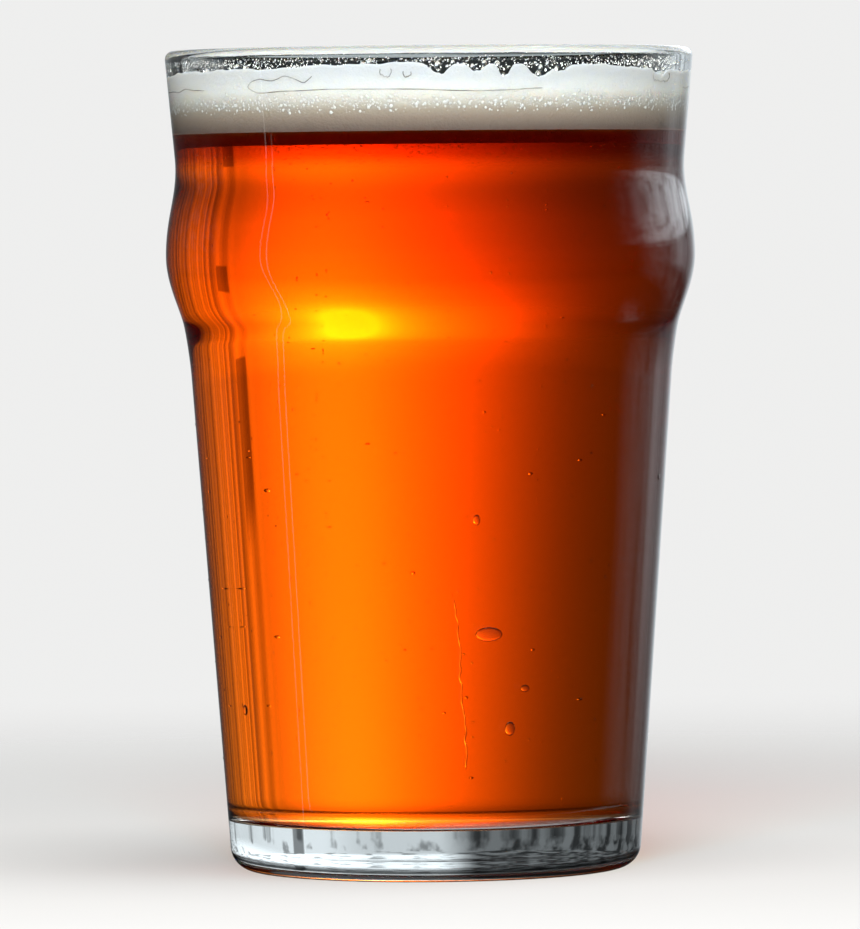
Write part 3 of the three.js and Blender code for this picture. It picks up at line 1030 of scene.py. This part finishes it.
def build_world():
    """Light by direction: turn is the angle to the right of straight behind the glass, and rise the angle
    above level. Through the ale the screen shows, a sum of bell curves of the turn times a level by the
    rise, with the lamp, a sum of bell curves of both. Through clear glass alone the room shows, bright to
    the right and dim to the left, with a dark skyline through the rim. What the glass mirrors is a dimmer
    screen, a pale side and a pale sky to the right."""
    world = bpy.data.worlds.new("studio")
    scene.world = world
    world.use_nodes = True
    tree = world.node_tree
    tree.nodes.clear()

    def math(operation, first, second=0.0):
        return add_node(tree, "Math", {"operation": operation}, {0: first, 1: second}).outputs[0]

    def joined(operation, values):
        first, *others = values
        return math(operation, first, joined(operation, others)) if others else first

    def product(values):
        return joined("MULTIPLY", values)

    def total(values):
        return joined("ADD", values)

    def scaled_square(angle, centre, spread):
        off = math("MULTIPLY", math("SUBTRACT", angle, centre), 1 / spread)
        return math("MULTIPLY", off, off)

    def bell(distance_squared, height):
        return math("MULTIPLY", math("EXPONENT", math("MULTIPLY", distance_squared, -1.0)), height)

    def step(angle, start, end, low=0.0, high=1.0):
        return add_node(tree, "MapRange", {"interpolation_type": "SMOOTHSTEP"},
                        {0: angle, 1: start, 2: end, 3: low, 4: high}).outputs[0]

    def choose(share, low, high):
        return add_node(tree, "Mix", {"data_type": "FLOAT"}, {0: share, 2: low, 3: high}).outputs[0]

    def patches(place, scale, detail):
        inputs = {"Vector": place, "Scale": scale, "Detail": detail}
        return add_node(tree, "TexNoise", inputs=inputs).outputs[0]

    def tinted(value, colour):
        grey = add_node(tree, "CombineXYZ", inputs={0: value, 1: value, 2: value}).outputs[0]
        return add_node(tree, "Mix", {"data_type": "RGBA", "blend_type": "MULTIPLY"},
                        {0: 1.0, 6: grey, 7: colour}).outputs[2]

    direction = add_node(tree, "SeparateXYZ", inputs={0: add_node(tree, "TexCoord").outputs["Generated"]})
    degrees = 180 / np.pi
    turn = math("MULTIPLY", math("ARCTAN2", direction.outputs["X"], direction.outputs["Y"]), degrees)
    rise = math("MULTIPLY", math("ARCSINE", direction.outputs["Z"]), degrees)

    levels = add_node(tree, "ValToRGB", {}, {0: math("ADD", math("MULTIPLY", rise, 1 / LEVEL_SPAN), 0.5)})
    stops = [(angle / LEVEL_SPAN + 0.5, (grey, grey, grey, 1)) for angle, grey in SCREEN_LEVELS]
    set_ramp(levels.color_ramp, stops)
    bells = total(bell(scaled_square(turn, centre, spread), height) for centre, spread, height in SCREENS)
    streaks = add_node(tree, "TexNoise", {"noise_dimensions": "1D"},
                       {"W": turn, "Scale": STREAK_SCALE, "Detail": 4})
    uneven = choose(step(turn, *STREAKS), 1.0, step(streaks.outputs[0], *STREAK_SHADES))
    screen = product((bells, levels.outputs[0], uneven))

    lamp = total(
        bell(math("ADD", scaled_square(turn, LAMP_TURN, wide), scaled_square(rise, LAMP_RISE, tall)), height)
        for height, wide, tall in LAMP_BELLS
    )
    off_post = math("ABSOLUTE", math("SUBTRACT", turn, POST_TURN))
    post = product((
        step(off_post, POST_HALF_WIDTH + POST_BLUR, POST_HALF_WIDTH),
        step(rise, POST_FOOT, POST_FOOT + POST_FOOT_BLUR),
        step(rise, POST_TOP + POST_BLUR, POST_TOP),
    ))
    open_share = math("SUBTRACT", 1.0, math("MULTIPLY", post, POST_SHADE))
    ahead = math("ADD", math("MULTIPLY", math("ADD", screen, lamp), open_share), SURROUND)
    around = step(math("ABSOLUTE", turn), *AROUND)

    place = add_node(tree, "CombineXYZ", inputs={
        0: math("MULTIPLY", turn, CLEAR_BLOCKS[0]),
        1: math("MULTIPLY", rise, CLEAR_BLOCKS[1]),
    }).outputs[0]
    blocks = patches(place, 1.0, 3)
    off_side = step(off_post, POST_HALF_WIDTH, POST_HALF_WIDTH + CLEAR_POST_BLUR, CLEAR_POST_SHADE, 1.0)
    beside_post = math("MAXIMUM", off_side, step(rise, *CLEAR_POST_TOP))
    raised = step(rise, *CLEAR_RAISED)
    further = step(turn, *CLEAR_FURTHER)
    near_side = product((CLEAR_BRIGHT, step(blocks, *NEAR_BLOCKS), beside_post, raised, further))
    far_side = product((CLEAR_DIM, step(blocks, *FAR_BLOCKS)))
    level = math("ADD", step(math("ABSOLUTE", rise), *CLEAR_LEVEL), step(rise, *CLEAR_TABLE))
    sides = choose(step(turn, *CLEAR_EDGE), far_side, near_side)
    room = product((sides, level))

    cloud = patches(place, CLOUD_SCALE, 4)
    open_sky = product((step(rise, *SKY_RISE), step(turn, *SKY_LEFT), step(turn, *SKY_RIGHT)))
    sky = product((open_sky, MIRRORED_SKY, step(cloud, *CLOUDS)))
    side_turn, side_spread, side_height = MIRRORED_SIDE
    side = bell(scaled_square(turn, side_turn, side_spread), side_height)
    screen_and_side = math("ADD", math("MULTIPLY", ahead, MIRRORED_SCREEN), side)
    mirrored = math("ADD", product((screen_and_side, step(rise, *MIRRORED_LOW))), sky)

    path = add_node(tree, "LightPath")
    never_mirrored = math("LESS_THAN", path.outputs["Glossy Depth"], 0.5)
    been_through = math("GREATER_THAN", path.outputs["Transmission Depth"], 0.5)
    through_rim = math("GREATER_THAN", path.outputs["Transmission Depth"], RIM_CROSSINGS)
    through_ale = math("GREATER_THAN", path.outputs["Transmission Depth"], ALE_CROSSINGS)
    by_eye = math("MAXIMUM", path.outputs["Is Transmission Ray"], path.outputs["Is Glossy Ray"])
    full = math("ADD", ahead, math("MULTIPLY", around, never_mirrored))
    seen = math("MAXIMUM", step(math("ABSOLUTE", turn), *CLEAR_WIDTH), never_mirrored)
    skyline = product((through_rim, SKYLINE_SHADE, step(rise, *SKYLINE_FOOT), step(rise, *SKYLINE_TOP)))
    plain_room = math("ADD", product((room, seen, math("SUBTRACT", 1.0, skyline))),
                      product((around, CLEAR_AROUND, never_mirrored)))

    def blend(share, low, high):
        return add_node(tree, "Mix", {"data_type": "RGBA"}, {0: share, 6: low, 7: high}).outputs[2]

    warm = tinted(full, CLEAR)
    cool = tinted(choose(been_through, mirrored, plain_room), COOL)
    in_glass = blend(through_ale, cool, warm)
    light = blend(by_eye, tinted(SOFT_LIGHT, COOL), in_glass)
    shown = blend(path.outputs["Is Camera Ray"], light, BACKDROP)
    background = add_node(tree, "Background", inputs={"Color": shown, "Strength": 1.0})
    output = add_node(tree, "OutputWorld")
    tree.links.new(background.outputs[0], output.inputs["Surface"])


def soft_box(name, place, target, width, height, power, shows):
    """A rectangular lamp at place, facing target. Where shows is false the glass doesn't mirror it."""
    lamp = bpy.data.lights.new(name, "AREA")
    lamp.shape = "RECTANGLE"
    lamp.size = width
    lamp.size_y = height
    lamp.energy = power
    box = bpy.data.objects.new(name, lamp)
    aim = (Vector(target) - Vector(place)).to_track_quat("-Z", "Y")
    box.matrix_world = Matrix.Translation(place) @ aim.to_matrix().to_4x4()
    box.visible_camera = False
    box.visible_glossy = shows
    box.visible_transmission = shows
    scene.collection.objects.link(box)
    return box


build_world()
FOAM_MIDDLE = (0, 0, 0.13)
soft_box("top_box", (0.15, -0.3, 1.5), FOAM_MIDDLE, 1.0, 0.9, 14.5, False)
soft_box("front_box", (-0.08, -0.85, 0.45), FOAM_MIDDLE, 0.4, 0.3, 8.2, False)
soft_box("streak_box", (-0.976, -0.218, 0.0), (0, 0, 0), 0.012, 2.4, 0.1, True)

# The camera: level with the ale just under the foam, with a long lens, a step and a half away. It leans by
# half a degree, as in the photograph, and everything is sharp.
EYE_DISTANCE = 1.427
EYE_HEIGHT = 0.1143
LENS = 328.2
AIM = Vector((-0.0004, 0, 0.06805))
ROLL = np.radians(-0.53)

camera_data = bpy.data.cameras.new("camera")
camera_data.lens = LENS
camera_data.sensor_width = 36
camera_data.clip_start = 0.05
camera = bpy.data.objects.new("camera", camera_data)
eye = Vector((0, -EYE_DISTANCE, EYE_HEIGHT))
facing = (AIM - eye).to_track_quat("-Z", "Y").to_matrix().to_4x4()
camera.matrix_world = Matrix.Translation(eye) @ facing @ Matrix.Rotation(ROLL, 4, "Z")
scene.collection.objects.link(camera)
scene.camera = camera

# How the picture is worked out: enough bounces to pass through glass and ale, no bright specks and plain
# colours.
scene.cycles.max_bounces = 24
scene.cycles.transmission_bounces = 20
scene.cycles.transparent_max_bounces = 24
scene.cycles.glossy_bounces = 12
scene.cycles.caustics_reflective = False
scene.cycles.caustics_refractive = False
scene.cycles.sample_clamp_indirect = 8.0
scene.cycles.use_denoising = True
scene.view_settings.view_transform = "Standard"
